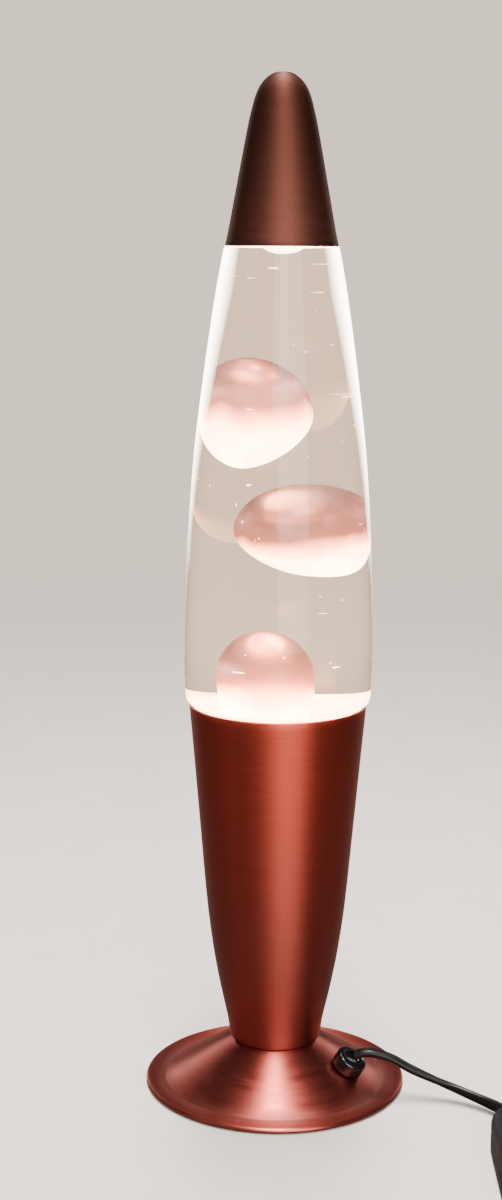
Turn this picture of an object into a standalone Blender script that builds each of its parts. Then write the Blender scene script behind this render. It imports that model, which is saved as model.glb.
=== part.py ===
"""A lava lamp, built piece by piece: a spun metal foot and body, a lamp holder and
reflector bulb inside them, a tapered bottle of wax that lifts out, a conical cap that
lifts off, and a flat twin cord with its in-line rocker switch, coil and two-pin plug.

Lengths here are millimetres, and MM turns them into Blender's metres. +Z is up, and the
origin is on the lamp's axis, on the surface that it stands on.
"""
import math

import bmesh
import bpy
from mathutils import Matrix, Vector

MM = 0.001
GAP = 0.3                       # left between pieces that touch
HEIGHT = 420.0
SHEET = 1.0                     # spun aluminium of foot, body and cap

ROUND, MIDDLE, SMALL = 36, 24, 16   # sides of large, middling and small turned pieces

# Foot: a cone that rises from a rolled brim to a flat top
FOOT_TOP = (19.2, 19.5)         # radius and height where the cone meets its flat top
FOOT_CREASE = (46.0, 3.0)       # where the cone meets the brim
BRIM_RADIUS = 55.1
CENTRE_HOLE = 5.3

# Body: outline from its floor up to its rim, as radius and height
BODY_FLOOR = 20.3
BODY_OUTLINE = [(19.1, 21.3), (20.6, 30.0), (23.6, 43.5), (26.6, 60.0),
                (29.2, 80.0), (31.9, 110.0), (34.5, 140.0), (36.8, 165.6)]

# Bottle: widest just above the rim, tapering to a shoulder and a neck
BOTTLE_FLOOR = 128.0
BOTTLE_BELOW_RIM = [(29.0, 128.0), (31.0, 129.2), (31.8, 132.0), (32.6, 140.0),
                    (34.2, 158.0), (34.8, 165.2)]
BOTTLE_ABOVE_RIM = [(35.5, 166.0), (36.9, 166.2), (38.1, 168.2), (38.8, 175.0), (39.05, 185.0),
                    (38.6, 205.0), (37.3, 237.0), (34.9, 270.0), (31.3, 300.0),
                    (27.0, 330.0), (23.3, 350.8)]
BOTTLE_NECK = [(22.9, 351.6), (20.3, 351.9), (18.6, 353.4), (14.6, 362.0),
               (13.0, 367.0), (13.0, 380.0)]
BOTTLE_INSIDE = [(10.4, 380.0), (10.4, 366.0), (16.6, 350.5), (20.8, 340.0),
                 (28.8, 300.0), (32.4, 270.0), (34.8, 237.0), (36.1, 205.0),
                 (36.5, 185.0), (35.6, 170.0), (32.4, 160.0), (30.2, 140.0),
                 (29.6, 133.0), (28.0, 131.0)]

# Cap: a cone with a rounded tip
CAP_EDGE = (22.7, 352.2)
CAP_OUTLINE = [(13.7, 400.0), (12.5, 405.0), (11.2, 410.0), (9.6, 414.0),
               (7.2, 417.0), (4.0, 419.3)]

# Bulb and holder
HOLDER_RADIUS = 13.4
BULB_TIP = 40.2
NIPPLE_RADIUS = 5.0
NIPPLE_BORE = 4.0

# Cord and what is on it
CORD_RADIUS = 2.6
BUSHING_ANGLE = math.radians(-24.5)
BUSHING_RADIUS_OUT = 33.0       # distance of the cord's outlet from the lamp's axis
SWITCH_CENTRE = (99.0, -90.0)
SWITCH_HALF = (13.5, 32.0)
SWITCH_SPLIT = 9.0
SWITCH_HEIGHT = 18.0
COIL_CENTRE = (154.5, -97.0)
COIL_INSIDE, COIL_OUTSIDE = 24.8, 35.4
COIL_LOW, COIL_HIGH = 1.2, 12.0
PLUG_Z = 19.3
PLUG_REAR, PLUG_FRONT = -74.0, -110.0
ROUTE_LAMP_TO_SWITCH = [(33.8, -15.45, 17.4), (37.2, -15.7, 18.6), (41.5, -16.0, 18.7),
                        (49.0, -16.8, 16.8), (57.0, -18.0, 12.8), (66.0, -19.6, 9.2),
                        (76.0, -22.4, 6.0), (85.5, -28.4, 4.2), (93.3, -36.6, 4.0),
                        (97.6, -45.0, 4.6), (99.0, -52.0, 5.3), (99.0, -57.3, 5.5)]
ROUTE_SWITCH_TO_COIL = [(99.0, -122.9, 5.5), (99.6, -128.0, 5.0), (104.0, -134.2, 4.0),
                        (110.8, -140.2, 3.4), (119.7, -144.4, 3.2), (130.0, -146.6, 3.2),
                        (141.1, -146.8, 3.3), (152.3, -144.6, 3.5), (162.9, -140.0, 3.7),
                        (171.7, -134.2, 3.8)]
ROUTE_COIL_TO_PLUG = [(188.1, -76.0, 10.9), (188.4, -68.0, 12.0), (188.1, -60.0, 13.3),
                      (186.1, -51.2, 14.7), (181.3, -43.8, 16.1), (173.9, -39.4, 17.4),
                      (165.9, -40.0, 18.4), (159.1, -44.4, 19.0), (155.4, -50.2, 19.3),
                      (154.5, -55.3, 19.3)]
INNER_ROUTE = [(28.2, -12.85, 7.0), (26.6, -12.1, 5.3), (21.6, -9.8, 4.8),
               (14.0, -6.4, 4.9), (6.4, -2.9, 5.6), (1.6, -0.7, 8.2), (0.0, 0.0, 13.0),
               (0.0, 0.0, 22.0), (0.0, 0.0, 30.2)]


# ---------------------------------------------------------------- tools

def clear_scene():
    for item in list(bpy.data.objects):
        bpy.data.objects.remove(item, do_unlink=True)


def material(name, colour, roughness, metallic=0.0, transmission=0.0, coat=0.0):
    made = bpy.data.materials.new(name)
    made.use_nodes = True
    shader = made.node_tree.nodes["Principled BSDF"]
    shader.inputs["Base Color"].default_value = (*colour, 1.0)
    shader.inputs["Roughness"].default_value = roughness
    shader.inputs["Metallic"].default_value = metallic
    shader.inputs["Transmission Weight"].default_value = transmission
    shader.inputs["Coat Weight"].default_value = coat
    return made


def place(name, data, finish, at=(0, 0, 0), axis=(0, 0, 1)):
    """Add an object at a point given in millimetres, with its own Z turned to an axis."""
    data.materials.append(finish)
    made = bpy.data.objects.new(name, data)
    bpy.context.scene.collection.objects.link(made)
    made.location = Vector(at) * MM
    made.rotation_euler = Vector((0, 0, 1)).rotation_difference(Vector(axis)).to_euler()
    return made


def finish_mesh(name, shape):
    bmesh.ops.recalc_face_normals(shape, faces=shape.faces)
    data = bpy.data.meshes.new(name)
    shape.to_mesh(data)
    shape.free()
    data.shade_smooth()
    data.set_sharp_from_angle(angle=math.radians(35))
    return data


def turned(name, profile, finish, sides=SMALL, at=(0, 0, 0), axis=(0, 0, 1), gap_at=None):
    """Spin a closed profile of (radius, height) points about its own axis. gap_at is the
    (direction, width) in degrees of a sector that is left out."""
    shape = bmesh.new()
    whole = gap_at is None
    first = 0.0 if whole else math.radians(gap_at[0] + gap_at[1] / 2)
    sweep = 2 * math.pi if whole else math.radians(360 - gap_at[1])
    columns = []
    on_axis = {}
    for step in range(sides if whole else sides + 1):
        angle = first + sweep * step / sides
        column = []
        for index, (radius, height) in enumerate(profile):
            if radius == 0.0 and index in on_axis:
                column.append(on_axis[index])
                continue
            spot = (radius * math.cos(angle), radius * math.sin(angle), height)
            vertex = shape.verts.new(Vector(spot) * MM)
            if radius == 0.0:
                on_axis[index] = vertex
            column.append(vertex)
        columns.append(column)
    for here, there in zip(columns, columns[1:] + (columns[:1] if whole else [])):
        for index in range(len(profile)):
            after = (index + 1) % len(profile)
            corners = []
            for spot in (here[index], here[after], there[after], there[index]):
                if spot not in corners:
                    corners.append(spot)
            if len(corners) > 2:
                shape.faces.new(corners)
    if not whole:
        shape.faces.new(columns[0])
        shape.faces.new(columns[-1])
    return place(name, finish_mesh(name, shape), finish, at, axis)


def lofted(name, loops, finish, at=(0, 0, 0), axis=(0, 0, 1)):
    """Skin a stack of loops with equal numbers of points, and close both ends."""
    shape = bmesh.new()
    rings = [[shape.verts.new(Vector(spot) * MM) for spot in loop] for loop in loops]
    for lower, upper in zip(rings, rings[1:]):
        for index in range(len(lower)):
            after = (index + 1) % len(lower)
            shape.faces.new((lower[index], lower[after], upper[after], upper[index]))
    shape.faces.new(rings[0])
    shape.faces.new(rings[-1])
    return place(name, finish_mesh(name, shape), finish, at, axis)


def rounded_outline(half_x, half_y, corner, steps=4):
    """Corner-rounded rectangle about the origin, counter-clockwise."""
    points = []
    for turn, (side_x, side_y) in enumerate([(1, 1), (-1, 1), (-1, -1), (1, -1)]):
        for step in range(steps + 1):
            angle = math.pi / 2 * (turn + step / steps)
            points.append((side_x * (half_x - corner) + corner * math.cos(angle),
                           side_y * (half_y - corner) + corner * math.sin(angle)))
    return points


def block(name, size, finish, at=(0, 0, 0), bevel=0.0):
    shape = bmesh.new()
    bmesh.ops.create_cube(shape, size=1.0, matrix=Matrix.Diagonal((*(Vector(size) * MM), 1.0)))
    if bevel:
        bmesh.ops.bevel(shape, geom=list(shape.edges), offset=bevel * MM, segments=1, affect="EDGES")
    return place(name, finish_mesh(name, shape), finish, at)


def smooth_path(points, spacing):
    """Even-spaced points along the smooth curve that passes through the given points."""
    spots = [Vector(point) for point in points]
    spots = [2 * spots[0] - spots[1]] + spots + [2 * spots[-1] - spots[-2]]
    fine = []
    for before, start, end, after in zip(spots, spots[1:], spots[2:], spots[3:]):
        for step in range(12):
            t = step / 12
            fine.append(0.5 * (2 * start + (end - before) * t
                               + (2 * before - 5 * start + 4 * end - after) * t * t
                               + (3 * start - before - 3 * end + after) * t ** 3))
    fine.append(spots[-2])
    lengths = [0.0]
    for here, there in zip(fine, fine[1:]):
        lengths.append(lengths[-1] + (there - here).length)
    count = max(2, round(lengths[-1] / spacing))
    path, index = [], 0
    for step in range(count + 1):
        goal = lengths[-1] * step / count
        while index < len(fine) - 2 and lengths[index + 1] < goal:
            index += 1
        part = (goal - lengths[index]) / (lengths[index + 1] - lengths[index])
        path.append(fine[index].lerp(fine[index + 1], part))
    return path


def tube(name, points, radius, finish, spacing):
    """A round cord or wire along a smooth curve through the points."""
    data = bpy.data.curves.new(name, "CURVE")
    data.dimensions = "3D"
    data.bevel_depth = radius * MM
    data.bevel_resolution = 2
    data.use_fill_caps = True
    data.render_resolution_u = 0
    path = smooth_path(points, spacing)
    line = data.splines.new("POLY")
    line.points.add(len(path) - 1)
    for point, spot in zip(line.points, path):
        point.co = (*(spot * MM), 1.0)
    return place(name, data, finish)


def cut(target, *cutters):
    """Cut pieces away, and keep the cutters as hidden guides."""
    for cutter in cutters:
        change = target.modifiers.new(cutter.name, "BOOLEAN")
        change.operation = "DIFFERENCE"
        change.object = cutter
        cutter.hide_render = True
        cutter.display_type = "WIRE"


def drill(name, radius, low, high, finish, at=(0, 0, 0), axis=(0, 0, 1)):
    profile = [(0.0, low), (radius, low), (radius, high), (0.0, high)]
    return turned(name, profile, finish, SMALL, at, axis)


def washer(name, inside, outside, low, high, finish, sides=MIDDLE):
    return turned(name, [(inside, low), (outside, low), (outside, high), (inside, high)], finish, sides)


def hex_nut(name, across_flats, bore, low, high, finish):
    """A hexagon outside and a round bore, with the hexagon's corners on the bore's sides."""
    loops = {}
    for radius_name in ("bore", "outside"):
        ring = []
        for step in range(MIDDLE):
            angle = 2 * math.pi * step / MIDDLE
            from_flat = (angle + math.pi / 6) % (math.pi / 3) - math.pi / 6
            flat = across_flats / 2 / math.cos(math.pi / 6 - abs(from_flat))
            radius = bore if radius_name == "bore" else flat
            ring.append((radius * math.cos(angle), radius * math.sin(angle)))
        loops[radius_name] = ring
    shape = bmesh.new()
    corners = [("bore", low), ("outside", low), ("outside", high), ("bore", high)]
    rings = [[shape.verts.new(Vector((x, y, z)) * MM) for x, y in loops[kind]] for kind, z in corners]
    for inner, outer in zip(rings, rings[1:] + rings[:1]):
        for index in range(MIDDLE):
            after = (index + 1) % MIDDLE
            shape.faces.new((inner[index], inner[after], outer[after], outer[index]))
    return place(name, finish_mesh(name, shape), finish)


def screw(name, head, shaft, head_low, head_high, tip, finish, at):
    """A pan-head screw whose head is at the bottom."""
    profile = [(0.0, head_low), (head - 0.5, head_low), (head, head_low + 0.4), (head, head_high),
               (shaft, head_high), (shaft, tip - 0.6), (shaft - 0.5, tip), (0.0, tip)]
    return turned(name, profile, finish, SMALL, at)


# ---------------------------------------------------------------- foot and body

def cone_frame():
    """The point on the foot's cone where the cord leaves, and the cone's normal there."""
    fall = (FOOT_TOP[1] - FOOT_CREASE[1]) / (FOOT_CREASE[0] - FOOT_TOP[0])
    height = FOOT_TOP[1] - (BUSHING_RADIUS_OUT - FOOT_TOP[0]) * fall
    outwards = Vector((math.cos(BUSHING_ANGLE), math.sin(BUSHING_ANGLE), 0.0))
    point = outwards * BUSHING_RADIUS_OUT + Vector((0, 0, height))
    return point, (outwards * fall + Vector((0, 0, 1))).normalized()


def make_foot(metal, iron, felt, zinc, guide):
    top_r, top_z = FOOT_TOP
    crease_r, crease_z = FOOT_CREASE
    profile = [(CENTRE_HOLE, 20.0), (top_r - 1.2, 20.0), FOOT_TOP, FOOT_CREASE,
               (crease_r + 1.4, 2.4), (BRIM_RADIUS - 1.1, 2.4), (BRIM_RADIUS, 1.4),
               (BRIM_RADIUS - 1.1, 0.4), (BRIM_RADIUS - 1.9, 1.2), (crease_r + 1.0, 1.4),
               (crease_r - 0.55, crease_z - 0.85), (top_r - 0.55, top_z - 0.85),
               (top_r - 1.5, 19.0), (CENTRE_HOLE, 19.0)]
    shell = turned("foot_shell", profile, metal, ROUND)
    point, normal = cone_frame()
    cut(shell, drill("guide_cord_hole", 4.6, -4.0, 4.0, guide, point, normal))

    washer("felt_ring", 37.0, 44.0, 0.0, 1.3, felt, ROUND)
    cover = turned("base_cover", [(0.0, 1.6), (44.4, 1.6), (44.4, 2.4), (0.0, 2.4)], zinc, ROUND)
    ring = [(12.0, 2.7), (35.5, 2.7), (35.5, 4.6), (33.0, 7.0), (12.0, 7.0)]
    ballast = turned("ballast_ring", ring, iron, ROUND, gap_at=(math.degrees(BUSHING_ANGLE), 76))
    for index, turn in enumerate((60, 180, 300)):
        angle = BUSHING_ANGLE + math.radians(turn)
        spot = (24.0 * math.cos(angle), 24.0 * math.sin(angle), 0.0)
        hole = drill(f"guide_cover_hole_{index + 1}", 1.8, 0.5, 6.2, guide, spot)
        cut(cover, hole)
        cut(ballast, hole)
        screw(f"cover_screw_{index + 1}", 2.9, 1.45, 0.3, 1.3, 5.8, zinc, spot)


def make_body(metal):
    floor, above = BODY_FLOOR, BODY_FLOOR + SHEET
    outside = [(18.4, floor), (19.0, floor + 0.5)] + BODY_OUTLINE[1:]
    inside = [(radius - SHEET, height) for radius, height in reversed(BODY_OUTLINE)]
    profile = [(CENTRE_HOLE, floor)] + outside + inside + [(CENTRE_HOLE, above)]
    turned("base_body", profile, metal, ROUND)


def make_stem(zinc):
    """The threaded nipple that clamps body, foot and holder together."""
    washer("threaded_nipple", NIPPLE_BORE, NIPPLE_RADIUS, 13.2, 29.3, zinc)
    hex_nut("nipple_nut_lower", 14.0, CENTRE_HOLE, 14.4, 17.6, zinc)
    washer("nipple_washer_lower", CENTRE_HOLE, 9.0, 17.9, 18.7, zinc)
    washer("nipple_washer_upper", CENTRE_HOLE, 9.0, 21.6, 22.4, zinc)
    hex_nut("nipple_nut_upper", 14.0, CENTRE_HOLE, 22.7, 26.0, zinc)


# ---------------------------------------------------------------- holder, wiring and bulb

def make_holder(bakelite, brass, brown, blue, guide):
    cup = [(CENTRE_HOLE, 26.4), (12.2, 26.4), (HOLDER_RADIUS, 27.6), (HOLDER_RADIUS, 32.9),
           (12.0, 32.9), (12.0, 28.0), (CENTRE_HOLE, 28.0)]
    turned("holder_cap", cup, bakelite, MIDDLE)
    barrel = [(0.0, 33.2), (HOLDER_RADIUS, 33.2), (HOLDER_RADIUS, 56.8), (12.9, 57.5), (8.6, 57.5),
              (8.6, 37.0), (0.0, 37.0)]
    body = turned("holder_body", barrel, bakelite, MIDDLE)
    washer("holder_screw_shell", 7.4, 8.1, 37.6, 54.0, brass)
    block("holder_centre_contact", (9.0, 3.4, 0.8), brass, (0.0, 0.0, 38.4), 0.2)
    for index, side in enumerate((-1, 1)):
        spot = (7.6 * side, 0.0, 0.0)
        screw(f"holder_terminal_screw_{index + 1}", 1.9, 1.1, 31.4, 32.9, 35.4, brass, spot)
        cut(body, drill(f"guide_terminal_hole_{index + 1}", 1.5, 32.0, 36.0, guide, spot))
    for name, side, finish in (("lead_brown", -1, brown), ("lead_blue", 1, blue)):
        route = [(0.9, 31.1), (2.2, 31.6), (3.8, 30.9), (5.2, 30.2), (7.4, 30.1)]
        tube(name, [(side * across, 0.0, height) for across, height in route], 0.6, finish, 1.5)


def make_bulb(glass, brass, black, tungsten):
    tip = BULB_TIP
    envelope = [(5.4, 50.0), (6.0, 50.0), (6.1, 60.0), (8.0, 66.0), (14.6, 77.0), (18.6, 88.0),
                (19.5, 96.0), (18.6, 101.0), (15.0, 104.6), (8.0, 106.6), (0.0, 107.0)]
    inside = [(0.0, 106.2), (7.8, 105.8), (14.5, 103.9), (17.8, 100.6), (18.7, 96.0), (17.8, 88.2),
              (13.9, 77.4), (7.3, 66.3), (5.3, 60.0)]
    turned("bulb_glass", envelope + inside, glass, MIDDLE)
    shell = [(6.2, 43.2), (6.9, 43.6), (6.9, 58.6), (6.4, 58.6), (6.4, 44.4)]
    turned("bulb_screw_shell", shell, brass, MIDDLE)
    ring = [(2.6, 41.0), (3.4, 41.0), (6.3, 42.8), (5.4, 43.4), (2.6, 42.4)]
    turned("bulb_insulator", ring, black, SMALL)
    button = [(0.0, tip), (1.6, tip), (2.3, tip + 0.5), (2.3, tip + 1.8), (0.0, tip + 1.8)]
    turned("bulb_contact_tip", button, brass, SMALL)
    turned("bulb_stem", [(0.0, 48.0), (2.2, 48.0), (2.2, 62.0), (1.2, 70.0), (0.0, 70.0)], glass, SMALL)
    wire = [(-4.6, 0, 71.0), (-6.0, 0, 76.0), (-5.6, 0, 80.5), (-2.8, 0, 81.6), (0, 0, 80.6),
            (2.8, 0, 81.6), (5.6, 0, 80.5), (6.0, 0, 76.0), (4.6, 0, 71.0)]
    tube("bulb_filament", wire, 0.35, tungsten, 2.0)


# ---------------------------------------------------------------- bottle, wax and cap

def blob(name, centre, radius, half_height, wax, lean=0.0):
    """A rounded drop of wax, leaning by an angle in degrees about Y."""
    profile = [(0.0, -half_height)]
    for step in range(1, 10):
        angle = math.pi * step / 10 - math.pi / 2
        profile.append((radius * math.cos(angle), half_height * math.sin(angle)))
    profile.append((0.0, half_height))
    axis = (math.sin(math.radians(lean)), 0.0, math.cos(math.radians(lean)))
    return turned(name, profile, wax, 20, centre, axis)


def make_bottle(glass, wax, steel, tin, rubber):
    outside = [(0.0, BOTTLE_FLOOR)] + BOTTLE_BELOW_RIM + BOTTLE_ABOVE_RIM + BOTTLE_NECK
    turned("bottle", outside + BOTTLE_INSIDE + [(0.0, 131.0)], glass, ROUND)
    # the pool is hollowed underneath for the wire coil, and a dome swells out of its top
    outline = [(0.0, 131.4), (18.4, 131.4), (18.4, 138.2), (25.6, 138.2), (25.6, 131.4),
               (27.6, 131.4), (28.9, 133.4), (29.6, 140.0), (31.8, 160.0), (33.3, 164.4),
               (33.3, 165.6), (32.0, 166.6), (0.0, 166.6)]
    pool = turned("wax_pool", outline, wax, ROUND)
    dome = blob("guide_wax_dome", (-3.5, 0.0, 178.0), 15.0, 20.0, wax)
    dome.hide_render = True
    dome.display_type = "WIRE"
    merge = pool.modifiers.new("dome", "BOOLEAN")
    merge.operation = "UNION"
    merge.object = dome
    coil = [(22.0 + 3.0 * math.cos(turn * math.pi / 4), 134.5 + 3.0 * math.sin(turn * math.pi / 4))
            for turn in range(8)]
    turned("wire_coil", coil, steel, MIDDLE)
    blob("wax_blob_upper", (-8.2, 0.0, 285.6), 18.0, 22.3, wax)
    blob("wax_blob_middle", (7.4, 0.0, 238.6), 21.6, 18.5, wax, 4.0)
    blob("wax_blob_top", (1.1, 0.0, 356.3), 8.5, 8.5, wax)
    crown = [(0.0, 382.5), (12.6, 382.5), (14.2, 381.0), (14.6, 375.0), (13.9, 375.0), (13.6, 380.6),
             (12.4, 381.8), (0.0, 381.8)]
    turned("bottle_crown", crown, tin, MIDDLE)
    turned("crown_liner", [(0.0, 380.3), (12.2, 380.3), (12.2, 381.4), (0.0, 381.4)], rubber, MIDDLE)


def make_cap(metal):
    outside = [CAP_EDGE] + CAP_OUTLINE + [(0.0, HEIGHT)]
    inside = [(0.0, HEIGHT - 1.2), (3.6, 418.2), (6.5, 416.1), (8.7, 413.4), (10.2, 409.8),
              (11.5, 404.8), (12.7, 399.8), (CAP_EDGE[0] - SHEET, CAP_EDGE[1])]
    turned("cap", outside + inside, metal, ROUND)


# ---------------------------------------------------------------- cord and what is on it

def make_bushing(plastic):
    point, normal = cone_frame()
    profile = [(0.0, -3.8), (3.8, -3.8), (5.0, -2.6), (5.0, -1.6), (4.2, -1.6), (4.2, 0.3), (6.3, 0.3),
               (6.7, 0.8), (6.7, 4.2), (6.0, 5.3), (4.8, 5.6), (0.0, 5.6)]
    turned("strain_relief_bushing", profile, plastic, SMALL, point, normal)


def switch_shell(name, sections, plastic):
    """A stack of rounded outlines; each section is (inset, height)."""
    loops = []
    for inset, height in sections:
        outline = rounded_outline(SWITCH_HALF[0] - inset, SWITCH_HALF[1] - inset, 11.0 - inset)
        loops.append([(x, y, height) for x, y in outline])
    return lofted(name, loops, plastic, (*SWITCH_CENTRE, 0.0))


def make_switch(plastic, dark, brass, zinc, guide):
    x, y = SWITCH_CENTRE
    lower = [(1.6, 0.0), (0.0, 2.0), (0.0, SWITCH_SPLIT - GAP)]
    upper = [(0.0, SWITCH_SPLIT), (0.0, 12.5), (0.8, 15.6), (2.6, 17.4), (5.0, SWITCH_HEIGHT)]
    bottom = switch_shell("switch_housing_bottom", lower, plastic)
    top = switch_shell("switch_housing_top", upper, plastic)
    cut(bottom, block("guide_bottom_cavity", (21.0, 40.0, 8.0), guide, (x, y, 5.8)))
    cut(top, block("guide_top_cavity", (21.0, 40.0, 8.0), guide, (x, y, 11.4)),
        block("guide_rocker_opening", (11.0, 19.0, 8.0), guide, (x, y, 17.0)))
    for index, side in enumerate((-1, 1)):
        spot = (x + 6.0 * side, y + 25.5 * side, 0.0)
        cut(bottom, drill(f"guide_switch_screw_{index + 1}", 1.6, -1.0, 10.0, guide, spot),
            drill(f"guide_switch_head_{index + 1}", 3.1, -1.0, 2.6, guide, spot))
        cut(top, drill(f"guide_switch_thread_{index + 1}", 1.6, 8.0, 13.4, guide, spot))
        screw(f"switch_screw_{index + 1}", 2.7, 1.25, 0.8, 2.2, 13.0, zinc, spot)
        block(f"switch_contact_{index + 1}", (1.0, 16.0, 5.0), brass, (x + 6.0 * side, y, 6.2), 0.2)
    side_view = [(-8.6, 16.4), (-8.3, 18.6), (0.0, 17.0), (8.3, 18.6), (8.6, 16.4),
                 (5.6, 12.6), (2.6, 10.4), (-2.6, 10.4), (-5.6, 12.6)]
    pivot = 14.6
    turn = math.radians(7.0)
    profile = []
    for along, height in side_view:
        high = height - pivot
        profile.append((along * math.cos(turn) - high * math.sin(turn),
                        pivot + along * math.sin(turn) + high * math.cos(turn)))
    loops = [[(side, along, height) for along, height in profile] for side in (-5.0, 5.0)]
    lofted("switch_rocker", loops, dark, (x, y, 0.0))


def make_coil(rubber, tie_plastic):
    profile = [(COIL_INSIDE, COIL_LOW), (COIL_OUTSIDE, COIL_LOW), (COIL_OUTSIDE, COIL_HIGH),
               (COIL_INSIDE, COIL_HIGH)]
    turned("cord_coil", profile, rubber, ROUND, (*COIL_CENTRE, 0.0))
    # the tie is a flat loop that stands across the coil's ring
    angle = math.radians(150)
    middle = (COIL_INSIDE + COIL_OUTSIDE) / 2
    half = (COIL_OUTSIDE - COIL_INSIDE) / 2
    low, high = COIL_LOW, COIL_HIGH
    rings = []
    for outset in (GAP + 0.1, GAP + 0.8):
        rings.append([(-half - outset, low - outset), (half + outset, low - outset),
                      (half + outset, high + outset), (-half - outset, high + outset)])
    shape = bmesh.new()
    corners = []
    for ring, across in ((rings[0], -2.0), (rings[1], -2.0), (rings[1], 2.0), (rings[0], 2.0)):
        row = []
        for along, height in ring:
            radius = middle + along
            x = COIL_CENTRE[0] + radius * math.cos(angle) - across * math.sin(angle)
            y = COIL_CENTRE[1] + radius * math.sin(angle) + across * math.cos(angle)
            row.append(shape.verts.new(Vector((x, y, height)) * MM))
        corners.append(row)
    for row, beside in zip(corners, corners[1:] + corners[:1]):
        for index in range(4):
            after = (index + 1) % 4
            shape.faces.new((row[index], row[after], beside[after], beside[index]))
    place("cord_tie", finish_mesh("cord_tie", shape), tie_plastic)


def make_plug(plastic, nickel):
    x = COIL_CENTRE[0]
    loops = []
    for along, half_width, half_thick in ((PLUG_REAR, 6.6, 4.6), (PLUG_REAR - 8.0, 9.6, 5.6),
                                          (PLUG_REAR - 24.0, 15.4, 6.6), (PLUG_FRONT + 1.2, 17.2, 6.7),
                                          (PLUG_FRONT, 16.4, 5.9)):
        outline = rounded_outline(half_width, half_thick, 3.6, 3)
        loops.append([(across, along, PLUG_Z + up) for across, up in outline])
    lofted("plug_body", loops, plastic, (x, 0.0, 0.0))
    for index, side in enumerate((-1, 1)):
        start = PLUG_FRONT - GAP
        pin = [(0.0, 0.0), (2.0, 0.0), (2.0, 17.6), (1.3, 18.7), (0.0, 18.9)]
        turned(f"plug_pin_{index + 1}", pin, nickel, SMALL, (x + 9.3 * side, start, PLUG_Z), (0, -1, 0))
    sleeve = [(0.0, 0.0), (4.3, 0.0), (4.0, 4.0), (3.2, 17.6), (0.0, 17.6)]
    turned("plug_strain_relief", sleeve, plastic, SMALL, (x, PLUG_REAR + GAP, PLUG_Z), (0, 1, 0))


def make_cords(rubber):
    tube("cord_lamp_side", ROUTE_LAMP_TO_SWITCH, CORD_RADIUS, rubber, 6.0)
    tube("cord_plug_side", ROUTE_SWITCH_TO_COIL, CORD_RADIUS, rubber, 7.0)
    tube("cord_tail", ROUTE_COIL_TO_PLUG, CORD_RADIUS, rubber, 6.0)
    tube("inner_cord", INNER_ROUTE, 1.7, rubber, 3.2)


def build():
    clear_scene()
    copper = material("copper_anodised", (0.42, 0.075, 0.04), 0.34, 1.0)
    wax = material("wax", (0.86, 0.42, 0.34), 0.30, coat=0.4)
    glass = material("clear_glass", (0.97, 0.94, 0.90), 0.03, transmission=1.0)
    black = material("black_plastic", (0.015, 0.015, 0.017), 0.35)
    dark = material("rocker_plastic", (0.03, 0.03, 0.032), 0.25)
    rubber = material("cord_rubber", (0.02, 0.018, 0.02), 0.45)
    bakelite = material("bakelite", (0.05, 0.03, 0.02), 0.3)
    brass = material("brass", (0.75, 0.55, 0.25), 0.3, 1.0)
    zinc = material("zinc_plate", (0.62, 0.62, 0.60), 0.4, 1.0)
    iron = material("cast_iron", (0.10, 0.10, 0.10), 0.7, 0.6)
    felt = material("felt", (0.03, 0.03, 0.03), 0.95)
    steel = material("steel_wire", (0.55, 0.55, 0.55), 0.35, 1.0)
    tin = material("tinplate", (0.70, 0.68, 0.62), 0.3, 1.0)
    brown = material("lead_brown", (0.20, 0.08, 0.03), 0.5)
    blue = material("lead_blue", (0.03, 0.10, 0.45), 0.5)
    tungsten = material("tungsten", (0.45, 0.42, 0.38), 0.5, 1.0)
    nickel = material("nickel", (0.72, 0.70, 0.66), 0.25, 1.0)
    guide = material("guide", (0.9, 0.2, 0.9), 0.5)

    make_foot(copper, iron, felt, zinc, guide)
    make_body(copper)
    make_stem(zinc)
    make_holder(bakelite, brass, brown, blue, guide)
    make_bulb(glass, brass, black, tungsten)
    make_bottle(glass, wax, steel, tin, rubber)
    make_cap(copper)
    make_bushing(black)
    make_switch(black, dark, brass, zinc, guide)
    make_coil(rubber, black)
    make_plug(black, nickel)
    make_cords(rubber)


build()
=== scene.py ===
"""The looks of the lava lamp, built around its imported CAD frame.

Outlines and routes are millimetres, and MM turns them into Blender's metres. Every piece
is in the frame's own place: the lamp's axis is Z, and it stands on z = 0.
"""
import math

import bmesh
import bpy
import numpy as np
from mathutils import Matrix, Vector, noise


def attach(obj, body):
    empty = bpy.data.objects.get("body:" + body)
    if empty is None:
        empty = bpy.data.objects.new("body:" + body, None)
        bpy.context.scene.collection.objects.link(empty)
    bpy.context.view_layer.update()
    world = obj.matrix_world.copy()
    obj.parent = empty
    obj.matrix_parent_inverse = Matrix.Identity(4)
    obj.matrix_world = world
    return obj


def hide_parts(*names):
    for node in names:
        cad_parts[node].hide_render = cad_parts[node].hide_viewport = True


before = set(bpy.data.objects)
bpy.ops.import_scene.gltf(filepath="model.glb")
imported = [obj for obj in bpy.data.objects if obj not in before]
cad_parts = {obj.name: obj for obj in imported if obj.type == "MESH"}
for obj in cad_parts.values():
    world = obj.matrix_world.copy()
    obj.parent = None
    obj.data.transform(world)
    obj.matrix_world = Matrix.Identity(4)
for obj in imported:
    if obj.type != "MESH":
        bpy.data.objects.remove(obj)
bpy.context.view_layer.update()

MM = 0.001
FULL_TURN = 2 * math.pi
ROUND_SIDES = 192
FLOOR_RADIUS = 4.0
FLOOR_FADE = (0.3, 1.5)

# Camera: metres, millimetres of focal length, and radians
CAMERA_PLACE = Vector((0.0, -0.7727, 0.3483))
LENS = 57.18
LOOK_DOWN, TURN_LEFT, ROLL = 0.1782, 0.0148, 0.0062

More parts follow.
